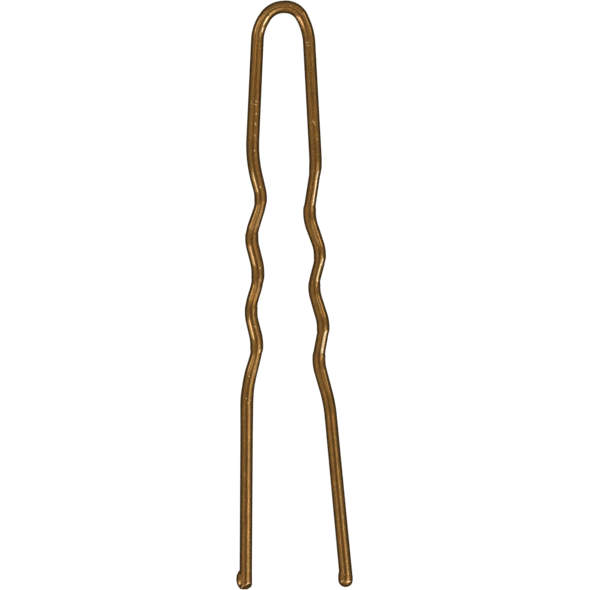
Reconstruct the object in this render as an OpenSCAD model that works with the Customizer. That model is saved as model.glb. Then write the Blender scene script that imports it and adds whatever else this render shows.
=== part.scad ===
// French hair pin: one round wire bent into a U, with a crimped wave in both
// legs and a drop of hard lacquer over each cut end.
//
// The pin lies flat, with its bow towards +Y and its tips towards -Y. The
// origin is under the middle of its box, on the surface that it lies on.
// Sizes are millimetres.

/* [Pin] */
// Length over all, from the outside of the bow to the ends of the tips
pin_length = 76; // [66:1:100]
// Diameter of the lacquered wire
wire_d = 1.6; // [1.2:0.1:2]
// Distance between the middles of the two tips
tip_spread = 13; // [10:0.5:20]

/* [Bow] */
// Width over the wire where the bow runs into the legs
bow_width = 8.3; // [7.5:0.1:10]
// Height of the bow, from where the legs start to the outside of the wire
bow_height = 5.5; // [4.8:0.1:8]

/* [Crimp] */
// Sideways travel of the wave that is crimped into each leg
crimp_depth = 1.4; // [0.8:0.1:2]
// Bend radius of the sharpest knees of the wave
knee_radius = 4.8; // [3:0.1:6]
// Way down the left leg to its first knee
left_crimp_start = 14.9; // [8:0.1:18]
// Distance between the first and the last knee of the left leg
left_crimp_length = 29.5; // [24:0.5:34]
// Way down the right leg to its first knee
right_crimp_start = 16; // [8:0.1:18]
// Distance between the first and the last knee of the right leg
right_crimp_length = 30.7; // [24:0.1:34]

/* [Tips] */
// Length of the left drop, from its end to where its skin meets the wire
left_drop_length = 2.5; // [2.2:0.1:4]
// Length of the left drop's round end, below its widest place
left_drop_nose = 1.2; // [1:0.05:1.6]
// How far the left drop stands out of the wire on its outer side
left_drop_out = 0.44; // [0.2:0.02:0.5]
// How far the left drop stands out of the wire on its inner side
left_drop_in = 0.1; // [0.1:0.02:0.2]
// Length of the right drop, from its end to where its skin meets the wire
right_drop_length = 2.4; // [2.2:0.1:4]
// Length of the right drop's round end, below its widest place
right_drop_nose = 1; // [0.9:0.05:1.6]
// How far the right drop stands out of the wire on its outer side
right_drop_out = 0.12; // [0.1:0.02:0.4]
// How far the right drop stands out of the wire on its inner side
right_drop_in = 0.14; // [0.1:0.02:0.2]
// How far both drops stand out of the underside of the wire
drop_under = 0.16; // [0.14:0.01:0.2]
// Lacquer between the cut end of the wire and the end of a drop
end_cover = 0.7; // [0.4:0.1:1]
// Clearance round the wire in the socket of a drop
socket_gap = 0.015; // [0.01:0.005:0.03]

/* [Hidden] */
$fn = 48;

// A knee of a leg: share of the crimp's length down the leg, offset from the
// leg's straight line in crimp depths (outwards is positive), and bend radius
// in knee radii.
LEFT_KNEES = [
    [0,     0.27, 3.5],
    [0.18, -0.76, 1],
    [0.34,  0.28, 1],
    [0.51, -0.70, 1.4],
    [0.66,  0.22, 1.2],
    [0.82, -0.68, 1.2],
    [1,     0.30, 3.5]
];
RIGHT_KNEES = [
    [0,    -0.15, 3.5],
    [0.21, -1.17, 1.2],
    [0.37, -0.18, 1],
    [0.51, -1.21, 1],
    [0.67, -0.39, 1],
    [0.82, -1.22, 1.2],
    [1,    -0.38, 3.5]
];
// A knee of the bow, from left to right: share of the bow's half width,
// share of the bow's height, and bend radius in half widths. The crown sits
// a little to the right, as the wire was bent by hand.
BOW_KNEES = [
    [-0.96, 0.42, 1.6],
    [-0.42, 1,    0.9],
    [ 0.56, 1,    0.7],
    [ 0.98, 0.33, 2.4]
];
// Most that a bend may take of the shorter straight beside it
BEND_SHARE = 0.47;
// The wire is this much fuller in its bends, and each straight runs this far
// into the bends at its ends, so that the joints between them are clean.
BEND_FULLNESS = 0.004;
LAP = 0.05;
// Angle between two points of a drop's outline
DROP_STEP = 7.5;

wire_r = wire_d / 2;
bow_half = bow_width / 2 - wire_r;
bow_rise = bow_height - wire_r;
tip_half = tip_spread / 2;
leg_length = pin_length - bow_height;
axis_z = wire_r + drop_under;
left_drop_r = wire_r + (left_drop_out + left_drop_in) / 2;
right_drop_r = wire_r + (right_drop_out + right_drop_in) / 2;
left_lean = (left_drop_out - left_drop_in) / 2;
right_lean = (right_drop_out - right_drop_in) / 2;

// Corners of the wire's route in plan. Here y = 0 is where the legs start and
// x = 0 is half way between them. The first and the last corner are the
// middles of the two drops.
function leg_corner(side, start, length, knee) =
    let (down = start + length * knee[0],
         straight = bow_half + (tip_half - bow_half) * down / leg_length)
    [side * (straight + crimp_depth * knee[1]), -down];
function drop_middle(side, nose) = [side * tip_half, nose - leg_length];

last_knee = len(LEFT_KNEES) - 1;
route = concat(
    [drop_middle(-1, left_drop_nose)],
    [for (i = [0 : last_knee])
        leg_corner(-1, left_crimp_start, left_crimp_length, LEFT_KNEES[last_knee - i])],
    [for (knee = BOW_KNEES) [bow_half * knee[0], bow_rise * knee[1]]],
    [for (knee = RIGHT_KNEES)
        leg_corner(1, right_crimp_start, right_crimp_length, knee)],
    [drop_middle(1, right_drop_nose)]);
wished_radii = concat(
    [0],
    [for (i = [0 : last_knee]) knee_radius * LEFT_KNEES[last_knee - i][2]],
    [for (knee = BOW_KNEES) bow_half * knee[2]],
    [for (knee = RIGHT_KNEES) knee_radius * knee[2]],
    [0]);
last_corner = len(route) - 1;

// Direction of the straight that leaves corner i, and its length
function heading(i) =
    atan2(route[i + 1][1] - route[i][1], route[i + 1][0] - route[i][0]);
function stretch(i) = norm(route[i + 1] - route[i]);
function along(angle) = [cos(angle), sin(angle)];

// Turn at corner i, positive to the left, brought within half a circle
function whole_turn(angle) = angle > 180 ? angle - 360 : angle < -180 ? angle + 360 : angle;
function turn(i) = whole_turn(heading(i) - heading(i - 1));

// Length that the bend at corner i takes from the straights beside it. The
// straights reach the drops' middles, where there is no bend.
function bend_reach(i) = i == 0 || i == last_corner ? 0 :
    min(wished_radii[i] * tan(abs(turn(i)) / 2),
        BEND_SHARE * min(stretch(i - 1), stretch(i)));
function bend_radius(i) = bend_reach(i) / tan(abs(turn(i)) / 2);

// How far past a drop's middle the cut end of the wire lies
function end_past(nose) = nose - end_cover;
// How far a straight runs past corner i of the route. At a bend it stops short
// of the corner, a lap inside the bend.
function past_corner(i) = i == 0 ? end_past(left_drop_nose) :
    i == last_corner ? end_past(right_drop_nose) : LAP - bend_reach(i);

// Moves the route's plan so that the origin is in the middle of the pin's box
box_left = -tip_half - left_lean - left_drop_r;
box_right = tip_half + right_lean + right_drop_r;
plan_shift = [-(box_left + box_right) / 2, (leg_length - bow_height) / 2, 0];

module straight(i) {
    direction = along(heading(i));
    start = route[i] - direction * past_corner(i);
    length = stretch(i) + past_corner(i) + past_corner(i + 1);
    translate([start[0], start[1], axis_z])
        rotate([0, 90, heading(i)])
            cylinder(h = length, r = wire_r);
}

module bend(i) {
    side = sign(turn(i));
    before = heading(i - 1);
    radius = bend_radius(i);
    middle = route[i] - bend_reach(i) * along(before) + side * radius * along(before + 90);
    from = side > 0 ? before - 90 : before + 90 + turn(i);
    translate([middle[0], middle[1], axis_z])
        rotate([0, 0, from])
            rotate_extrude(angle = abs(turn(i)))
                translate([radius, 0])
                    circle(r = wire_r + BEND_FULLNESS);
}

module wire() {
    color([0.42, 0.30, 0.16])
        translate(plan_shift) {
            for (i = [0 : last_corner - 1]) straight(i);
            for (i = [1 : last_corner - 1]) bend(i);
        }
}

// A drop of lacquer, with its widest place on the origin and its axis along X.
// Its end is round, and above its widest place its skin runs in to the wire.
// Its underside meets the surface that the pin lies on.
module drop(radius, length, nose, side, lean) {
    rise = radius - axis_z;
    taper = (length - nose) / sqrt(1 - pow(wire_r / radius, 2));
    difference() {
        translate([0, side * lean, rise])
            rotate([0, 90, 0])
                rotate_extrude()
                    polygon([for (a = [0 : DROP_STEP : 180])
                        [radius * sin(a), (a < 90 ? nose : taper) * cos(a)]]);
        translate([-2 * taper, 0, 0])
            rotate([0, 90, 0])
                cylinder(h = 2 * taper + end_past(nose) + socket_gap,
                         r = wire_r + socket_gap);
    }
}

module tip_left() {
    color([0.45, 0.32, 0.17])
        translate(plan_shift)
            translate([route[0][0], route[0][1], axis_z])
                rotate([0, 0, heading(0) + 180])
                    drop(left_drop_r, left_drop_length, left_drop_nose, -1, left_lean);
}

module tip_right() {
    color([0.45, 0.32, 0.17])
        translate(plan_shift)
            translate([route[last_corner][0], route[last_corner][1], axis_z])
                rotate([0, 0, heading(last_corner - 1)])
                    drop(right_drop_r, right_drop_length, right_drop_nose, 1, right_lean);
}

wire();
tip_left();
tip_right();
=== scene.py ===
# %% [markdown]
# # A french hair pin in Blender
#
# The pin is one piece of round steel wire, bent into a U, with a wave crimped
# into each leg so that it holds in a bun. It is dipped in bronze coloured
# lacquer, and a drop of the lacquer rounds off each cut end. The solid model of
# it comes in first, as a fixed frame that every piece has to agree with.

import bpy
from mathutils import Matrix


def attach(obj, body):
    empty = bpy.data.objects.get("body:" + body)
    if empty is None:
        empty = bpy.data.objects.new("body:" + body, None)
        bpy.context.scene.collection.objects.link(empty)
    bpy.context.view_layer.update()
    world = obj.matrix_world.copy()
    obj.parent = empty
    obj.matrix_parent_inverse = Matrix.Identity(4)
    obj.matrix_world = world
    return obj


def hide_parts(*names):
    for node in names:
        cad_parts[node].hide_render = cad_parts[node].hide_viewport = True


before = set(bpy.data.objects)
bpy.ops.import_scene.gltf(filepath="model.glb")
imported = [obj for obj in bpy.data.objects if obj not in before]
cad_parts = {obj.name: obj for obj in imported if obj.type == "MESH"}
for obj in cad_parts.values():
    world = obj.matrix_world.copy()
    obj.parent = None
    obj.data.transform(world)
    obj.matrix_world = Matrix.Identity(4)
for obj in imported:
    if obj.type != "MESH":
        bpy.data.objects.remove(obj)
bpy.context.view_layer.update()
print("solids:", sorted(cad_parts))

# %% Modules and units
import math

import bpy
from mathutils import Vector
from mathutils.bvhtree import BVHTree

MM = 0.001
scene = bpy.context.scene

# %% [markdown]
# ## The camera
#
# The photograph was taken from straight above, with the pin turned a little on
# the table. A long lens far away keeps both legs the same thickness, as a
# product photographer would. The camera is placed by the point of the table in
# the middle of the picture and by the width of the table that it shows.

# %% Place the camera
PICTURE_MIDDLE = Vector((0.91 * MM, -0.08 * MM, 0.96 * MM))
PICTURE_WIDTH = 76.26 * MM
CAMERA_HEIGHT = 600 * MM
PIN_TURN = math.radians(1.375)

camera_data = bpy.data.cameras.new("camera")
camera_data.sensor_width = 36
camera_data.lens = camera_data.sensor_width * CAMERA_HEIGHT / PICTURE_WIDTH
camera_data.clip_start = 10 * MM
camera_data.clip_end = 20
camera_data.dof.use_dof = False
camera = bpy.data.objects.new("camera", camera_data)
scene.collection.objects.link(camera)
camera.location = PICTURE_MIDDLE + Vector((0, 0, CAMERA_HEIGHT))
camera.rotation_euler = (0, 0, -PIN_TURN)
scene.camera = camera
print("lens in mm:", round(camera_data.lens, 1))

# %% [markdown]
# ## Helpers for node trees
#
# Every finish and every repeating shape below is a tree of nodes. Short helpers
# keep the trees readable. The first adds a node and fills its sockets, with a
# number or with another node's output, the second gives a tree a named socket,
# and the others each add one common kind of node and give back its output.


# %% Node helpers
def add(tree, kind, sockets=None, **settings):
    node = tree.nodes.new(kind)
    for name, value in settings.items():
        setattr(node, name, value)
    for key, value in (sockets or {}).items():
        if isinstance(value, bpy.types.NodeSocket):
            tree.links.new(value, node.inputs[key])
        else:
            node.inputs[key].default_value = value
    return node


def add_socket(tree, name, kind, value=None, way="INPUT"):
    socket = tree.interface.new_socket(name=name, in_out=way, socket_type="NodeSocket" + kind)
    if value is not None:
        socket.default_value = value
    return socket.identifier


def calculate(tree, operation, *values, **settings):
    node = add(tree, "ShaderNodeMath", dict(enumerate(values)), operation=operation, **settings)
    return node.outputs[0]


def calculate_vector(tree, operation, *values):
    node = add(tree, "ShaderNodeVectorMath", dict(enumerate(values)), operation=operation)
    return node.outputs[0]


def fit_range(tree, value, low, high, new_low, new_high):
    limits = {"Value": value, "From Min": low, "From Max": high,
              "To Min": new_low, "To Max": new_high}
    return add(tree, "ShaderNodeMapRange", limits).outputs["Result"]


def mix_colour(tree, share, first, second):
    node = add(tree, "ShaderNodeMix", data_type="RGBA")
    sockets = {"Factor_Float": share, "A_Color": first, "B_Color": second}
    for identifier, value in sockets.items():
        socket = next(s for s in node.inputs if s.identifier == identifier)
        if isinstance(value, bpy.types.NodeSocket):
            tree.links.new(value, socket)
        else:
            socket.default_value = value
    return next(s for s in node.outputs if s.identifier == "Result_Color")


print("node helpers ready")

# %% [markdown]
# ## The route of the wire
#
# The wire was bent over pegs, so its route is a chain of straights with a round
# bend at each corner. A freely drawn curve could follow the picture as well, but
# corners with radii are what the bender set, and they can be held against the
# solid model. Each knee of a leg has its place down the leg, as a share of the
# crimp's length, then its offset outwards from the leg's straight line, in crimp
# depths, and its bend radius, in knee radii. A knee of the bow has its share of
# the bow's half width, its share of the bow's height, and its bend radius in
# half widths.
#
# Three more values shape what the camera sees. The highlights of the real pin
# jump from one slope of the wave to the next, which a wave that lies flat
# doesn't show. So each knee also has a height, in millimetres, and where the
# wave swings outwards it rises. The bow stands a little off the table, which
# leaves the plain stretches beside it level. The jaws of the crimping tool
# flatten the wire, so the last values are its width there, as a share of round,
# and how hard the slopes next to the knee were pressed. The left leg has one
# nearly straight corner more than the solid model, below its crimp.

# %% Corners of the legs and of the bow
WIRE_RADIUS = 0.815 * MM
PIN_LENGTH = 76 * MM
BOW_HEIGHT = 5.5 * MM
BOW_HALF = 3.35 * MM
BOW_RISE = 4.665 * MM
TIP_HALF = 6.5 * MM
LEG_LENGTH = PIN_LENGTH - BOW_HEIGHT
CRIMP_DEPTH = 1.4 * MM
KNEE_RADIUS = 4.8 * MM
AXIS_HEIGHT = 0.96 * MM
BEND_SHARE = 0.47

LEFT_LEG = {
    "side": -1, "start": 14.9 * MM, "length": 29.5 * MM, "nose": 1.2 * MM, "end_width": 1.0,
    "knees": [(0, 0.27, 3.5, 0.35, 1.05, 1.0), (0.18, -0.76, 1, -0.11, 1.015, 0.85),
              (0.34, 0.28, 1, 0.34, 1.06, 0.8), (0.51, -0.70, 1.4, -0.12, 1.045, 1.1),
              (0.66, 0.22, 1.2, 0.32, 1.02, 0.8), (0.82, -0.68, 1.2, -0.12, 1.05, 1.3),
              (1, 0.30, 3.5, 0.35, 1.045, 0.5), (1.2, 0.235, 3.5, 0.25, 1.008, 0)],
}
RIGHT_LEG = {
    "side": 1, "start": 16 * MM, "length": 30.7 * MM, "nose": 1.0 * MM, "end_width": 1.055,
    "knees": [(0, -0.15, 2.5, 0.35, 1.01, 1.3), (0.21, -1.17, 1.2, -0.10, 1.03, 1.2),
              (0.37, -0.18, 1, 0.34, 0.98, 1.0), (0.51, -1.21, 1, -0.10, 0.975, 1.0),
              (0.67, -0.39, 1, 0.29, 1.02, 1.0), (0.82, -1.22, 1.2, -0.10, 1.04, 1.0),
              (1, -0.40, 3.5, 0.33, 0.995, 1.0)],
}
BOW_KNEES = [(-0.96, 0.42, 1.6, 0.20, 1.02), (-0.42, 1, 0.9, 0.34, 1.0),
             (0.56, 1, 0.7, 0.34, 1.03), (0.99, 0.33, 2.4, 0.20, 0.995)]
PLAN_SHIFT = Vector((0.16 * MM, 32.5 * MM, 0))


def leg_corners(leg):
    corners = []
    for share, offset, bend, rise, width, press in leg["knees"]:
        down = leg["start"] + leg["length"] * share
        straight = BOW_HALF + (TIP_HALF - BOW_HALF) * down / LEG_LENGTH
        across = leg["side"] * (straight + CRIMP_DEPTH * offset)
        place = Vector((across, -down, AXIS_HEIGHT + rise * MM))
        corners.append((place, KNEE_RADIUS * bend, press, width))
    end = Vector((leg["side"] * TIP_HALF, leg["nose"] - LEG_LENGTH, AXIS_HEIGHT))
    corners.append((end, 0, 0.0, leg["end_width"]))
    return corners


bow_corners = [
    (Vector((BOW_HALF * across, BOW_RISE * up, AXIS_HEIGHT + rise * MM)),
     BOW_HALF * bend, 0.0, width)
    for across, up, bend, rise, width in BOW_KNEES
]
corners = leg_corners(LEFT_LEG)[::-1] + bow_corners + leg_corners(RIGHT_LEG)
corners = [(place + PLAN_SHIFT, bend, press, width) for place, bend, press, width in corners]
print("corners of the route:", len(corners))

# %% [markdown]
# A bend can't take more of a straight than there is, so each wished radius is
# cut down to what fits, by the same rule as in the solid model. The first and the
# last corner are the middles of the two drops. The cut ends of the wire lie in the
# lacquer there, about a millimetre short of each drop's end.


# %% Radius of each bend
def fitting_radius(before, corner, after, wished):
    turn = (corner - before).angle(after - corner)
    reach = min(wished * math.tan(turn / 2),
                BEND_SHARE * min((corner - before).length, (after - corner).length))
    return reach / math.tan(turn / 2)


END_COVER = 1.0 * MM
places = [place for place, _, _, _ in corners]
bends = [0.0] * len(corners)
for i in range(1, len(corners) - 1):
    bends[i] = fitting_radius(places[i - 1], places[i], places[i + 1], corners[i][1])

axis_left = (places[0] - places[1]).normalized()
axis_right = (places[-1] - places[-2]).normalized()
drop_left = places[0].copy()
drop_right = places[-1].copy()
places[0] = drop_left + axis_left * (LEFT_LEG["nose"] - END_COVER)
places[-1] = drop_right + axis_right * (RIGHT_LEG["nose"] - END_COVER)
print("bend radii in mm:", [round(1000 * bend, 2) for bend in bends])

route_mesh = bpy.data.meshes.new("route")
route_mesh.from_pydata(places, [(i, i + 1) for i in range(len(places) - 1)], [])
for name, values in (("bend_radius", bends), ("crimp", [press for _, _, press, _ in corners]),
                     ("width_share", [width for _, _, _, width in corners])):
    attribute = route_mesh.attributes.new(name, "FLOAT", "POINT")
    attribute.data.foreach_set("value", values)
wire = bpy.data.objects.new("wire_lacquered", route_mesh)
scene.collection.objects.link(wire)

# %% [markdown]
# ## Marks that the finishes share
#
# Drawing the wire through a die leaves fine lines along it, and the lacquer over
# them pools and thins. Lines could be painted one by one, but stretched noise
# gives as many as the wire is long, without a seam. Both finishes use the same
# marks, so they are one shader group. It reads where a point would lie if the
# wire were pulled straight, so that the lines follow each bend, and it gives out
# masks that vary over the surface.

# %% Shader group: marks along the wire
def noise(tree, where, size_across, size_along, detail, roughness):
    scale = (1 / size_across, 1 / size_across, 1 / size_along)
    stretched = calculate_vector(tree, "MULTIPLY", where, scale)
    node = add(tree, "ShaderNodeTexNoise", {
        "Vector": stretched, "Scale": 1.0, "Detail": detail, "Roughness": roughness})
    return node.outputs["Fac"]


STREAK_SPREAD = 0.12
FLECK_SHIFT = (3 * MM, 1 * MM, 2 * MM)

marks = bpy.data.node_groups.new("drawn_wire_marks", "ShaderNodeTree")
add_socket(marks, "Straight Wire", "Vector")
add_socket(marks, "Line Contrast", "Float", 1.0)
for name in ("Streaks", "Bands", "Blotches", "Grain", "Flecks"):
    add_socket(marks, name, "Float", way="OUTPUT")
marks_in = add(marks, "NodeGroupInput")
where = marks_in.outputs["Straight Wire"]
streaks = noise(marks, where, 0.20 * MM, 2.4 * MM, detail=2.0, roughness=0.6)
bands = noise(marks, where, 0.40 * MM, 3.5 * MM, detail=2.0, roughness=0.6)
blotches = noise(marks, where, 0.35 * MM, 0.9 * MM, detail=2.0, roughness=0.6)
grain = noise(marks, where, 0.16 * MM, 0.20 * MM, detail=1.0, roughness=0.5)
shifted = calculate_vector(marks, "ADD", where, FLECK_SHIFT)
flecks = noise(marks, shifted, 0.17 * MM, 0.26 * MM, detail=0.0, roughness=0.5)
spread = calculate(marks, "DIVIDE", STREAK_SPREAD, marks_in.outputs["Line Contrast"])
marks_out = add(marks, "NodeGroupOutput", {
    "Streaks": fit_range(marks, streaks, calculate(marks, "SUBTRACT", 0.5, spread),
                         calculate(marks, "ADD", 0.5, spread), 0, 1),
    "Bands": fit_range(marks, bands, 0.40, 0.60, 0, 1),
    "Blotches": fit_range(marks, blotches, 0.35, 0.65, 0, 1),
    "Grain": fit_range(marks, grain, 0.3, 0.7, 0, 1),
    "Flecks": fit_range(marks, flecks, 0.60, 0.75, 0, 1),
})
print("marks group outputs:", [s.name for s in marks.interface.items_tree if s.in_out == "OUTPUT"])

# %% [markdown]
# ## The lacquer of the wire
#
# The lacquer is clear varnish with bronze powder in it, over steel. Plain brown
# paint with a gloss would look like plastic, because the powder colours its own
# highlights. So the finish is slightly rough bronze metal under a glossier clear
# coat, and the metal darkens towards its edges, where the eye looks through more
# varnish. Red brown and olive gold lie in long streaks, with darker lines, paler
# grain and a few gold flecks. Each nib is painted pale all over, a painted
# highlight for the glint of light on it, and the pinhole is painted nearly black,
# painted shade in the pit.


# %% Bronze lacquer
RED_BROWN = (0.475, 0.195, 0.032, 1)
OLIVE_GOLD = (0.395, 0.222, 0.038, 1)
DARK_LINE = (0.19, 0.085, 0.013, 1)
PALE_GRAIN = (0.58, 0.31, 0.075, 1)
GOLD_FLECK = (0.85, 0.55, 0.24, 1)
# Pale colour of the nibs: a painted highlight.
PAINTED_HIGHLIGHT_PALE = (0.95, 0.74, 0.46, 1)
# Near black in the pinhole: painted shade in the pit.
PINHOLE_PAINTED_SHADE = (0.03, 0.012, 0.003, 1)
EDGE_TINT = (0.35, 0.25, 0.15, 1)
SMOOTHEST = 0.15
ROUGHEST = 0.24
STREAK_RELIEF = 0.5
GRAIN_RELIEF = 0.15
RELIEF_DEPTH = 0.008 * MM
RELIEF_STRENGTH = 0.25
VARNISH_IOR = 2.1


def lacquer(name, line_contrast, coat_roughness):
    material = bpy.data.materials.new(name)
    material.use_nodes = True
    tree = material.node_tree
    tree.nodes.clear()
    where = add(tree, "ShaderNodeAttribute", attribute_name="straight_wire").outputs["Vector"]
    group = add(tree, "ShaderNodeGroup", node_tree=marks)
    tree.links.new(where, group.inputs["Straight Wire"])
    group.inputs["Line Contrast"].default_value = line_contrast
    masks = group.outputs
    tone = mix_colour(tree, masks["Bands"], RED_BROWN, OLIVE_GOLD)
    for mark, share, colour in (("Streaks", 0.85, DARK_LINE), ("Grain", 0.25, PALE_GRAIN),
                                ("Flecks", 0.4, GOLD_FLECK)):
        tone = mix_colour(tree, calculate(tree, "MULTIPLY", masks[mark], share), tone, colour)
    # The nibs' pale colour is a painted highlight, and the pinhole's near black is painted shade
    # in the pit.
    for mark, colour in (("painted_highlight", PAINTED_HIGHLIGHT_PALE), ("pinhole", PINHOLE_PAINTED_SHADE)):
        share = add(tree, "ShaderNodeAttribute", attribute_name=mark).outputs["Fac"]
        tone = mix_colour(tree, share, tone, colour)
    rough = fit_range(tree, masks["Blotches"], 0, 1, SMOOTHEST, ROUGHEST)
    height = calculate(tree, "ADD",
                       calculate(tree, "MULTIPLY", masks["Streaks"], STREAK_RELIEF),
                       calculate(tree, "MULTIPLY", masks["Grain"], GRAIN_RELIEF))
    bump = add(tree, "ShaderNodeBump", {
        "Strength": RELIEF_STRENGTH, "Distance": RELIEF_DEPTH, "Height": height})
    surface = add(tree, "ShaderNodeBsdfPrincipled", {
        "Base Color": tone, "Metallic": 1.0, "Roughness": rough,
        "Normal": bump.outputs["Normal"], "Specular Tint": EDGE_TINT, "Coat Weight": 1.0,
        "Coat Roughness": coat_roughness, "Coat IOR": VARNISH_IOR})
    add(tree, "ShaderNodeOutputMaterial", {"Surface": surface.outputs["BSDF"]})
    return material


wire_lacquer = lacquer("wire_lacquer", line_contrast=1.0, coat_roughness=0.07)
tip_lacquer = lacquer("tip_lacquer", line_contrast=0.8, coat_roughness=0.07)
print("materials:", wire_lacquer.name, tip_lacquer.name)

# %% [markdown]
# ## The wire
#
# One rule makes the whole wire: a circle is carried along the route. A curve with
# a round bevel would do that too, but Geometry Nodes can also change the surface
# on the way. The tree rounds the corners, carries the circle, keeps for each
# point where it would lie on a straight wire, squeezes the slopes that the jaws
# pressed, and lifts the surface a few microns where the lacquer is thick. A
# bubble burst on the bow's left shoulder, so there it sinks a pinhole, which the
# lacquer darkens with painted shade.

# %% Inputs of the tree that draws the wire
RING_SPACING = 0.08 * MM
PINHOLE_PLACE = (-1.69 * MM, 36.20 * MM, 2.02 * MM)
PINHOLE_FLOOR = 0.4
PRESS_BEGINS = 0.09
PRESS_FULL = 0.17

draw_wire = bpy.data.node_groups.new("draw_wire", "GeometryNodeTree")
add_socket(draw_wire, "Geometry", "Geometry")
wire_inputs = {
    "Wire Radius": add_socket(draw_wire, "Wire Radius", "Float", WIRE_RADIUS),
    "Sides": add_socket(draw_wire, "Sides", "Int", 48),
    "Ring Spacing": add_socket(draw_wire, "Ring Spacing", "Float", RING_SPACING),
    "Bend Points": add_socket(draw_wire, "Bend Points", "Int", 32),
    "Crimp Squeeze": add_socket(draw_wire, "Crimp Squeeze", "Float", 0.09),
    "Lacquer Unevenness": add_socket(draw_wire, "Lacquer Unevenness", "Float", 0.010 * MM),
    "Pinhole Place": add_socket(draw_wire, "Pinhole Place", "Vector", PINHOLE_PLACE),
    "Pinhole Radius": add_socket(draw_wire, "Pinhole Radius", "Float", 0.20 * MM),
    "Pinhole Depth": add_socket(draw_wire, "Pinhole Depth", "Float", 0.05 * MM),
}
add_socket(draw_wire, "Geometry", "Geometry", way="OUTPUT")
given = add(draw_wire, "NodeGroupInput").outputs
print("named inputs:", list(wire_inputs))


# %% Carry a circle along the rounded route
def capture(tree, geometry, **fields):
    node = add(tree, "GeometryNodeCaptureAttribute", {"Geometry": geometry})
    kinds = {"VALUE": "FLOAT", "VECTOR": "VECTOR"}
    for name, field in fields.items():
        node.capture_items.new(kinds[field.type], name)
        tree.links.new(field, node.inputs[name])
    return node.outputs


def stored(tree, name, kind="FLOAT"):
    node = add(tree, "GeometryNodeInputNamedAttribute", {"Name": name}, data_type=kind)
    return node.outputs["Attribute"]


def store(tree, geometry, name, value, kind="FLOAT"):
    node = add(tree, "GeometryNodeStoreNamedAttribute", {
        "Geometry": geometry, "Name": name, "Value": value}, data_type=kind)
    return node.outputs["Geometry"]


chain = add(draw_wire, "GeometryNodeMeshToCurve", {"Mesh": given["Geometry"]}).outputs["Curve"]
rounded = add(draw_wire, "GeometryNodeFilletCurve", {
    "Curve": chain, "Count": given["Bend Points"], "Radius": stored(draw_wire, "bend_radius"),
    "Limit Radius": False}, mode="POLY").outputs["Curve"]
rings = add(draw_wire, "GeometryNodeResampleCurve", {
    "Curve": rounded, "Length": given["Ring Spacing"]}, mode="LENGTH").outputs["Curve"]
upright = add(draw_wire, "GeometryNodeSetCurveNormal", {
    "Curve": rings}, mode="Z_UP").outputs["Curve"]
middle = add(draw_wire, "GeometryNodeInputPosition").outputs["Position"]
heading = add(draw_wire, "GeometryNodeInputTangent").outputs["Tangent"]
along = add(draw_wire, "GeometryNodeSplineParameter").outputs["Length"]
line = capture(draw_wire, upright, middle=middle, heading=heading, along=along,
               crimp=stored(draw_wire, "crimp"), width_share=stored(draw_wire, "width_share"))
circle = add(draw_wire, "GeometryNodeCurvePrimitiveCircle", {
    "Resolution": given["Sides"], "Radius": given["Wire Radius"]}).outputs["Curve"]
share_round = add(draw_wire, "GeometryNodeSplineParameter").outputs["Factor"]
section = capture(draw_wire, circle, share_round=share_round)
tube = add(draw_wire, "GeometryNodeCurveToMesh", {
    "Curve": line["Geometry"], "Profile Curve": section["Geometry"],
    "Fill Caps": True}).outputs["Mesh"]
print("nodes so far:", len(draw_wire.nodes))

# %% Keep each point's place on the straight wire, and press the slopes
turn = calculate(draw_wire, "MULTIPLY", section["share_round"], math.tau)
radius = given["Wire Radius"]
straight_x = calculate(draw_wire, "MULTIPLY", calculate(draw_wire, "COSINE", turn), radius)
straight_y = calculate(draw_wire, "MULTIPLY", calculate(draw_wire, "SINE", turn), radius)
straight_wire = add(draw_wire, "ShaderNodeCombineXYZ", {
    "X": straight_x, "Y": straight_y, "Z": line["along"]}).outputs["Vector"]
tube = store(draw_wire, tube, "straight_wire", straight_wire, "FLOAT_VECTOR")

direction = add(draw_wire, "ShaderNodeSeparateXYZ", {"Vector": line["heading"]}).outputs
slope = calculate(draw_wire, "MULTIPLY", direction["X"], direction["Y"])
pressed = calculate(draw_wire, "MULTIPLY", line["crimp"],
                    fit_range(draw_wire, slope, PRESS_BEGINS, PRESS_FULL, 0, 1))
squeeze = calculate(draw_wire, "MULTIPLY", pressed, given["Crimp Squeeze"])
side_share = calculate(draw_wire, "MULTIPLY", line["width_share"],
                       calculate(draw_wire, "SUBTRACT", 1, squeeze))
position = add(draw_wire, "GeometryNodeInputPosition").outputs["Position"]
reach = calculate_vector(draw_wire, "SUBTRACT", position, line["middle"])
shares = add(draw_wire, "ShaderNodeCombineXYZ", {
    "X": side_share, "Y": side_share, "Z": 1.0}).outputs["Vector"]
pressed_place = calculate_vector(draw_wire, "ADD", line["middle"],
                                 calculate_vector(draw_wire, "MULTIPLY", reach, shares))
tube = add(draw_wire, "GeometryNodeSetPosition", {
    "Geometry": tube, "Position": pressed_place}).outputs["Geometry"]
print("nodes so far:", len(draw_wire.nodes))

# %% Lay the lacquer on, with its pinhole
SAG_LEVEL = 0.6
RIPPLE_LEVEL = 0.5
RIPPLE_SHARE = 0.4

sag = noise(draw_wire, straight_wire, 0.9 * MM, 2.6 * MM, detail=2.0, roughness=0.5)
ripple = noise(draw_wire, straight_wire, 0.35 * MM, 0.8 * MM, detail=2.0, roughness=0.5)
sagged = calculate(draw_wire, "SUBTRACT", sag, SAG_LEVEL)
rippled = calculate(draw_wire, "MULTIPLY",
                    calculate(draw_wire, "SUBTRACT", ripple, RIPPLE_LEVEL), RIPPLE_SHARE)
thickness = calculate(draw_wire, "ADD", sagged, rippled)
away = add(draw_wire, "ShaderNodeVectorMath", {
    0: add(draw_wire, "GeometryNodeInputPosition").outputs["Position"],
    1: given["Pinhole Place"]}, operation="DISTANCE").outputs["Value"]
floor_radius = calculate(draw_wire, "MULTIPLY", given["Pinhole Radius"], PINHOLE_FLOOR)
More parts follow.
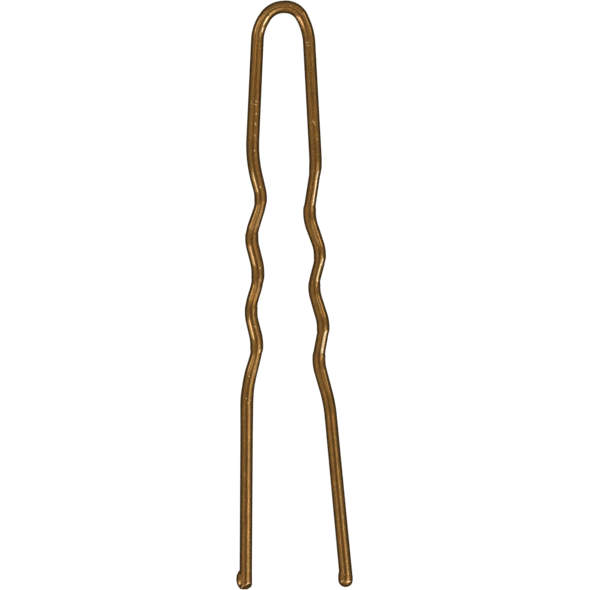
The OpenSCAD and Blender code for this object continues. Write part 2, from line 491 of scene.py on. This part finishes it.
# The pinhole share also sets the painted shade that darkens the pit in the lacquer.
tube = store(draw_wire, tube, "pinhole",
             fit_range(draw_wire, away, given["Pinhole Radius"], floor_radius, 0, 1))
growth = calculate(
    draw_wire, "SUBTRACT",
    calculate(draw_wire, "MULTIPLY", thickness, given["Lacquer Unevenness"]),
    calculate(draw_wire, "MULTIPLY", stored(draw_wire, "pinhole"), given["Pinhole Depth"]))
normal = add(draw_wire, "GeometryNodeInputNormal").outputs["Normal"]
lift = add(draw_wire, "ShaderNodeVectorMath", {
    0: normal, "Scale": growth}, operation="SCALE").outputs[0]
tube = add(draw_wire, "GeometryNodeSetPosition", {
    "Geometry": tube, "Offset": lift}).outputs["Geometry"]
tube = add(draw_wire, "GeometryNodeSetShadeSmooth", {"Geometry": tube}).outputs["Geometry"]
tube = add(draw_wire, "GeometryNodeRealizeInstances", {"Geometry": tube}).outputs["Geometry"]
tube = add(draw_wire, "GeometryNodeSetMaterial", {
    "Geometry": tube, "Material": wire_lacquer}).outputs["Geometry"]
add(draw_wire, "NodeGroupOutput", {"Geometry": tube})
print("nodes in the tree:", len(draw_wire.nodes))


# %% Turn the result into a plain mesh
def bake_modifier(piece):
    bpy.context.view_layer.update()
    seen = piece.evaluated_get(bpy.context.evaluated_depsgraph_get())
    mesh = bpy.data.meshes.new_from_object(seen)
    piece.modifiers.clear()
    old = piece.data
    piece.data = mesh
    bpy.data.meshes.remove(old)
    return mesh


modifier = wire.modifiers.new("draw_wire", "NODES")
modifier.node_group = draw_wire
modifier[wire_inputs["Ring Spacing"]] = RING_SPACING
wire_mesh = bake_modifier(wire)
pinhole_shares = [point.value for point in wire_mesh.attributes["pinhole"].data]
print("faces of the wire:", len(wire_mesh.polygons))
print("darkest of the pinhole:", max(pinhole_shares))

# %% [markdown]
# ## Nibs and scratches
#
# Dust and bubbles in wet lacquer dry as small nibs. Each nib is painted pale all
# over, a painted highlight for the glint of light on it. Bump alone would lie
# flat in the outline, so each nib is a low dome, and a short scratch is a narrow
# one. They sit where the real pin has them. Each is given by its place on the pin
# seen from above, its length and its width, all in millimetres, and by how many
# degrees its length turns away from the pin's. A ray from above finds the wire's
# skin, and Geometry Nodes sets the same dome at every place.

# %% Places of the nibs and scratches
NIBS = [
    (-3.51, 25.04, 0.30, 0.20, 0), (-4.12, 24.74, 0.34, 0.15, 0), (-3.57, 24.63, 0.13, 0.30, 0),
    (-3.55, 23.44, 0.22, 0.17, 20), (-3.67, 22.14, 0.40, 0.17, 25), (-3.77, 20.65, 0.34, 0.15, 5),
    (-3.88, 18.67, 0.26, 0.14, 0), (-3.28, 14.00, 0.24, 0.20, 0), (-3.52, 3.54, 0.26, 0.20, 0),
    (-4.36, -3.98, 0.20, 0.15, 0), (-3.88, -6.45, 0.22, 0.16, 0), (-5.25, -10.40, 0.22, 0.16, 0),
    (-5.71, -13.24, 0.22, 0.15, 0), (-5.46, -13.82, 0.20, 0.15, 0), (4.27, 19.95, 0.26, 0.15, 0),
    (3.80, 22.24, 0.50, 0.10, 30), (4.02, 21.84, 0.50, 0.10, 30), (4.00, 22.20, 0.34, 0.09, -25),
    (3.10, 32.50, 0.20, 0.12, 30), (3.30, 32.36, 0.22, 0.12, -30), (3.52, 32.52, 0.18, 0.12, 10),
    (3.24, 32.12, 0.22, 0.12, 0), (3.50, 32.06, 0.20, 0.12, 30), (1.24, 37.26, 0.20, 0.14, 90),
]
NIB_HEIGHT = 0.030 * MM
ABOVE_THE_PIN = 5 * MM
NIB_ROUNDNESS = 3

wire_skin = BVHTree.FromPolygons([v.co for v in wire_mesh.vertices],
                                 [p.vertices for p in wire_mesh.polygons])
nib_places = []
nib_normals = []
nib_headings = []
nib_sizes = []
for x, y, length, width, lean in NIBS:
    eye = Vector((x * MM, y * MM, ABOVE_THE_PIN))
    place, normal, _, _ = wire_skin.ray_cast(eye, Vector((0, 0, -1)))
    turn = math.radians(lean)
    nib_places.append(place)
    nib_normals += list(normal)
    nib_headings += [math.sin(turn), -math.cos(turn), 0]
    nib_sizes += [length / 2 * MM, width / 2 * MM, NIB_HEIGHT]
nib_points = bpy.data.meshes.new("nib_places")
nib_points.from_pydata(nib_places, [], [])
for name, values in (("up", nib_normals), ("heading", nib_headings), ("size", nib_sizes)):
    attribute = nib_points.attributes.new(name, "FLOAT_VECTOR", "POINT")
    attribute.data.foreach_set("vector", values)
nibs = bpy.data.objects.new("wire_nibs", nib_points)
scene.collection.objects.link(nibs)
print("nibs and scratches:", len(nib_places))

# %% Node tree that sets the domes
set_nibs = bpy.data.node_groups.new("set_nibs", "GeometryNodeTree")
add_socket(set_nibs, "Geometry", "Geometry")
nib_inputs = {
    "Roundness": add_socket(set_nibs, "Roundness", "Int", NIB_ROUNDNESS),
    "Height Share": add_socket(set_nibs, "Height Share", "Float", 1.0),
}
add_socket(set_nibs, "Geometry", "Geometry", way="OUTPUT")
nib_given = add(set_nibs, "NodeGroupInput").outputs
dome = add(set_nibs, "GeometryNodeMeshIcoSphere", {
    "Radius": 1.0, "Subdivisions": nib_given["Roundness"]}).outputs["Mesh"]
lengthwise = add(set_nibs, "FunctionNodeAlignRotationToVector", {
    "Vector": stored(set_nibs, "heading", "FLOAT_VECTOR")}, axis="X").outputs["Rotation"]
upwards = add(set_nibs, "FunctionNodeAlignRotationToVector", {
    "Rotation": lengthwise,
    "Vector": stored(set_nibs, "up", "FLOAT_VECTOR")}, axis="Z").outputs["Rotation"]
height_only = add(set_nibs, "ShaderNodeCombineXYZ", {
    "X": 1.0, "Y": 1.0, "Z": nib_given["Height Share"]}).outputs["Vector"]
dome_scale = calculate_vector(set_nibs, "MULTIPLY",
                              stored(set_nibs, "size", "FLOAT_VECTOR"), height_only)
domes = add(set_nibs, "GeometryNodeInstanceOnPoints", {
    "Points": nib_given["Geometry"], "Instance": dome,
    "Rotation": upwards, "Scale": dome_scale}).outputs["Instances"]
domes = add(set_nibs, "GeometryNodeRealizeInstances", {"Geometry": domes}).outputs["Geometry"]
dome_place = add(set_nibs, "GeometryNodeInputPosition").outputs["Position"]
domes = store(set_nibs, domes, "straight_wire", dome_place, "FLOAT_VECTOR")
# Every dome is marked for the painted highlight, so the lacquer paints it pale.
domes = store(set_nibs, domes, "painted_highlight", 1.0)
domes = add(set_nibs, "GeometryNodeSetShadeSmooth", {"Geometry": domes}).outputs["Geometry"]
domes = add(set_nibs, "GeometryNodeSetMaterial", {
    "Geometry": domes, "Material": wire_lacquer}).outputs["Geometry"]
add(set_nibs, "NodeGroupOutput", {"Geometry": domes})
modifier = nibs.modifiers.new("set_nibs", "NODES")
modifier.node_group = set_nibs
modifier[nib_inputs["Roundness"]] = NIB_ROUNDNESS
nibs_mesh = bake_modifier(nibs)
print("faces of the nibs:", len(nibs_mesh.polygons))

# %% [markdown]
# ## The drops of lacquer
#
# The cut ends are dipped, and the lacquer pulls itself into a drop. The left one
# sags to its outer side and shows the wire's slanting cut end through the
# lacquer. The right one is nearly even. Metaballs could grow such a form, but
# they don't keep to a size. Here a drop is a few rounded lobes grown together.
# Its skin is found by looking from its middle in every direction and going out
# until the last lobe is left. A soft least or most of several ways rounds the
# place where two of them meet.


# %% Ways out of a lobe
LEAST_SPEED = 1e-6
NEVER = 1e3
CUT_SHARPNESS = 14
LOBE_SHARPNESS = 30
END_SHARPNESS = 60


def leave_ellipsoid(ray, middle, radii):
    a = sum((d / r) ** 2 for d, r in zip(ray, radii))
    b = sum(d * c / r ** 2 for d, c, r in zip(ray, middle, radii))
    c = sum((m / r) ** 2 for m, r in zip(middle, radii)) - 1
    return (b + math.sqrt(b * b - a * c)) / a


def leave_half_space(ray, normal, distance):
    speed = sum(d * n for d, n in zip(ray, normal))
    return distance / speed if speed > LEAST_SPEED else NEVER


def soft_least(values, sharpness):
    return sum(v ** -sharpness for v in values) ** (-1 / sharpness)


def soft_most(values, sharpness):
    return sum(v ** sharpness for v in values) ** (1 / sharpness)


print("way out of a ball of radius 2:", leave_ellipsoid((1, 0, 0), (0, 0, 0), (2, 2, 2)))


# %% Drop builder
TOP_OF_DROP = 1.6
DROP_RINGS = 110
DROP_SIDES = 96


def turn_outwards(mesh):
    triples = [[mesh.vertices[v].co for v in p.vertices[:3]] for p in mesh.polygons]
    if sum(a.dot(b.cross(c)) for a, b, c in triples) < 0:
        mesh.flip_normals()


def make_drop(name, middle, axis, side, lobes, bottom, cuts=()):
    outwards = Vector((axis.y, -axis.x, 0)).normalized()
    if outwards.x * side < 0:
        outwards = -outwards
    up = Vector((0, 0, 1))

    def reach(ray):
        ways = [leave_ellipsoid(ray, *lobe) for lobe in lobes]
        cut_ways = [leave_half_space(ray, *cut) for cut in cuts]
        ways[0] = soft_least([ways[0]] + cut_ways, CUT_SHARPNESS)
        ends = [leave_half_space(ray, (-1, 0, 0), TOP_OF_DROP),
                leave_half_space(ray, (1, 0, 0), bottom)]
        return soft_least([soft_most(ways, LOBE_SHARPNESS)] + ends, END_SHARPNESS)

    def place(ray):
        far = reach(ray)
        down, out, high = [v * far * MM for v in ray]
        return middle + axis * down + outwards * out + up * high, (out, high, down)

    rays = [(1, 0, 0)]
    for r in range(1, DROP_RINGS):
        polar = math.pi * r / DROP_RINGS
        for k in range(DROP_SIDES):
            turn = math.tau * k / DROP_SIDES
            rays.append((math.cos(polar), math.sin(polar) * math.cos(turn),
                         math.sin(polar) * math.sin(turn)))
    rays.append((-1, 0, 0))
    points, straight = zip(*[place(ray) for ray in rays])
    following = [(k + 1) % DROP_SIDES for k in range(DROP_SIDES)]
    faces = [(0, 1 + k, 1 + after) for k, after in enumerate(following)]
    for r in range(DROP_RINGS - 2):
        ring = 1 + r * DROP_SIDES
        higher = ring + DROP_SIDES
        faces += [(ring + k, higher + k, higher + after, ring + after)
                  for k, after in enumerate(following)]
    last = 1 + (DROP_RINGS - 2) * DROP_SIDES
    faces += [(last + after, last + k, len(rays) - 1) for k, after in enumerate(following)]
    mesh = bpy.data.meshes.new(name)
    mesh.from_pydata(points, [], faces)
    attribute = mesh.attributes.new("straight_wire", "FLOAT_VECTOR", "POINT")
    attribute.data.foreach_set("vector", [v for place in straight for v in place])
    mesh.materials.append(tip_lacquer)
    mesh.shade_smooth()
    drop = bpy.data.objects.new(name, mesh)
    scene.collection.objects.link(drop)
    turn_outwards(mesh)
    return drop


print("drop builder ready")

# %% [markdown]
# A lobe is an ellipsoid. Its middle and its radii are given down the wire,
# outwards and upwards, in millimetres from the middle of the drop. The first
# lobe of each drop is the lacquer round the wire itself. On the left drop a
# slanting plane cuts it off, which makes the sharp ridge at its end.

# %% The two drops
LEFT_LOBES = [
    ((0.20, 0.00, 0.00), (6.50, 0.83, 0.83)),
    ((-0.15, 0.35, -0.15), (1.36, 0.88, 0.78)),
    ((0.45, 0.10, -0.12), (0.80, 0.78, 0.62)),
]
LEFT_CUTS = [((0.80, -0.43, 0.42), 0.88), ((1.00, 0.00, 0.00), 1.10)]
RIGHT_LOBES = [
    ((0.20, 0.00, 0.00), (0.73, 0.79, 0.79)),
    ((0.05, -0.12, -0.04), (0.92, 0.93, 0.89)),
    ((-0.35, -0.08, -0.03), (1.28, 0.95, 0.87)),
]
tip_left = make_drop("tip_left_drop", drop_left, axis_left, -1, LEFT_LOBES, 1.185, LEFT_CUTS)
tip_right = make_drop("tip_right_drop", drop_right, axis_right, 1, RIGHT_LOBES, 1.2)
print("faces of a drop:", len(tip_left.data.polygons), len(tip_right.data.polygons))

# %% [markdown]
# ## The table
#
# The pin lies on a light table: a plain white sheet that glows, so that no
# shadow falls on it. It is kept out of the pin's reflections, as a photographer
# does by lifting the pin on clear glass far above the sheet.

# %% Floor
floor_mesh = bpy.data.meshes.new("floor")
FLOOR_HALF = 3.0
GLOW = 0.97
floor_mesh.from_pydata(
    [(-FLOOR_HALF, -FLOOR_HALF, 0), (FLOOR_HALF, -FLOOR_HALF, 0),
     (FLOOR_HALF, FLOOR_HALF, 0), (-FLOOR_HALF, FLOOR_HALF, 0)], [], [(0, 1, 2, 3)])
floor = bpy.data.objects.new("floor", floor_mesh)
scene.collection.objects.link(floor)
paper = bpy.data.materials.new("white_sheet")
paper.use_nodes = True
paper.node_tree.nodes.clear()
sheet = add(paper.node_tree, "ShaderNodeBsdfPrincipled", {
    "Base Color": (0.30, 0.30, 0.30, 1), "Roughness": 0.9,
    "Emission Color": (1, 1, 1, 1), "Emission Strength": GLOW})
add(paper.node_tree, "ShaderNodeOutputMaterial", {"Surface": sheet.outputs["BSDF"]})
floor_mesh.materials.append(paper)
floor.visible_glossy = False
floor.visible_diffuse = False
print("floor width in m:", 2 * FLOOR_HALF)

# %% [markdown]
# ## The light
#
# Lacquered wire shows the lights as lines along it, and each flank of each slope
# looks at its own part of the room. One big lamp would draw one line everywhere,
# so the studio is a ring of softboxes. Each is placed by its compass angle round
# the pin, seen as in the picture with 0 to the right and 90 to the top, and by
# how far it leans from straight above. Its width and its height are degrees too.
# Its brightness, its colour and its distance come last. A far lamp is seen at the
# same angle from the whole pin, and the highlight of a near one wanders along it.


# %% Softboxes
NEAR = 0.5
FAR = 2.0


def softbox(name, compass, lean, wide, tall, brightness, colour, distance=NEAR):
    ray = Vector((math.sin(math.radians(lean)) * math.cos(math.radians(compass)),
                  math.sin(math.radians(lean)) * math.sin(math.radians(compass)),
                  math.cos(math.radians(lean))))
    light = bpy.data.lights.new(name, "AREA")
    light.shape = "RECTANGLE"
    light.size = 2 * distance * math.tan(math.radians(wide / 2)) * math.sin(math.radians(lean))
    light.size_y = 2 * distance * math.tan(math.radians(tall / 2))
    light.energy = brightness * math.pi * light.size * light.size_y
    light.color = colour
    box = bpy.data.objects.new(name, light)
    scene.collection.objects.link(box)
    box.location = ray * distance
    box.rotation_euler = (-ray).to_track_quat("-Z", "Y").to_euler()
    box.visible_camera = False


softbox("light_right_key", -31, 46, 17, 24, 3.0, (0.60, 0.88, 1.0))
softbox("light_right_edge", -16, 61, 9, 15, 4.5, (0.74, 0.92, 1.0), FAR)
softbox("light_right_low", -16, 78, 10, 16, 1.0, (1.0, 0.90, 0.70), FAR)
softbox("light_right_side", -6.5, 44, 8, 20, 1.0, (1.0, 0.78, 0.48), FAR)
softbox("light_right_front", -50, 43, 28, 9, 3.0, (1.0, 0.90, 0.66))
softbox("light_front_right", -76, 43, 22, 8, 1.0, (1.0, 0.82, 0.50))
softbox("light_front_left", -151, 75, 12, 20, 1.7, (1.0, 0.96, 0.78))
softbox("light_right_fill", -44, 48, 54, 58, 0.29, (1.0, 0.76, 0.41))
softbox("light_left_key", -157.5, 44, 11, 18, 2.6, (1.0, 0.95, 0.69), FAR)
softbox("light_left_low", -160, 70, 13, 26, 0.5, (1.0, 0.84, 0.54), FAR)
softbox("light_left_fill", -148, 54, 34, 46, 0.06, (0.8, 0.9, 1.0))
softbox("light_left_back", 152, 62, 16, 16, 1.6, (1.0, 0.79, 0.48))
softbox("light_left_back_top", 142, 38, 26, 28, 0.25, (1.0, 0.95, 0.36))
softbox("light_right_back", 27, 63, 20, 14, 1.5, (1.0, 0.76, 0.40))
softbox("light_back_top", 92, 13, 118, 7, 0.8, (1.0, 0.80, 0.40))
softbox("light_front_top", -90, 22, 60, 12, 0.40, (1.0, 0.81, 0.47))

# %% [markdown]
# The room itself shows in the wire as well. It is dark at the horizon, where the
# rims of the wire look, warm and light above that, and darker again straight
# above, where the camera hangs. Its levels go by the height of the ray, from 0 at
# the horizon to 1 straight up. Only the camera sees it white, like the table.

# %% Room
ROOM_LOW = (0.12, 0.095, 0.042, 1)
ROOM_HIGH = (0.41, 0.32, 0.165, 1)
ROOM_TOP = (0.22, 0.152, 0.056, 1)
WHITE = (1, 1, 1, 1)
WARM_FROM = 0.42
TOP_BEGINS = 0.90
TOP_FULL = 0.98

world = bpy.data.worlds.new("room")
scene.world = world
world.use_nodes = True
world.node_tree.nodes.clear()
seen = add(world.node_tree, "ShaderNodeLightPath").outputs["Is Camera Ray"]
ray = add(world.node_tree, "ShaderNodeTexCoord").outputs["Generated"]
height = add(world.node_tree, "ShaderNodeSeparateXYZ", {"Vector": ray}).outputs["Z"]
level = fit_range(world.node_tree, height, 0, WARM_FROM, 0, 1)
top = fit_range(world.node_tree, height, TOP_BEGINS, TOP_FULL, 0, 1)
room_colour = mix_colour(world.node_tree, level, ROOM_LOW, ROOM_HIGH)
room_colour = mix_colour(world.node_tree, top, room_colour, ROOM_TOP)
room_colour = mix_colour(world.node_tree, seen, room_colour, WHITE)
room = add(world.node_tree, "ShaderNodeBackground", {"Color": room_colour, "Strength": 1.0})
add(world.node_tree, "ShaderNodeOutputWorld", {"Surface": room.outputs["Background"]})
scene.view_settings.view_transform = "Standard"
print("room ready")

# %% [markdown]
# ## Put the pieces on the body
#
# Each piece stands for one solid and rides on the pin's only body.

# %% Ride and replace
for piece, node, finish in ((wire, "wire", "wire_lacquer"), (nibs, "wire", "wire_lacquer"),
                            (tip_left, "tip_left", "tip_lacquer"),
                            (tip_right, "tip_right", "tip_lacquer")):
    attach(piece, "root")
    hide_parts(node)
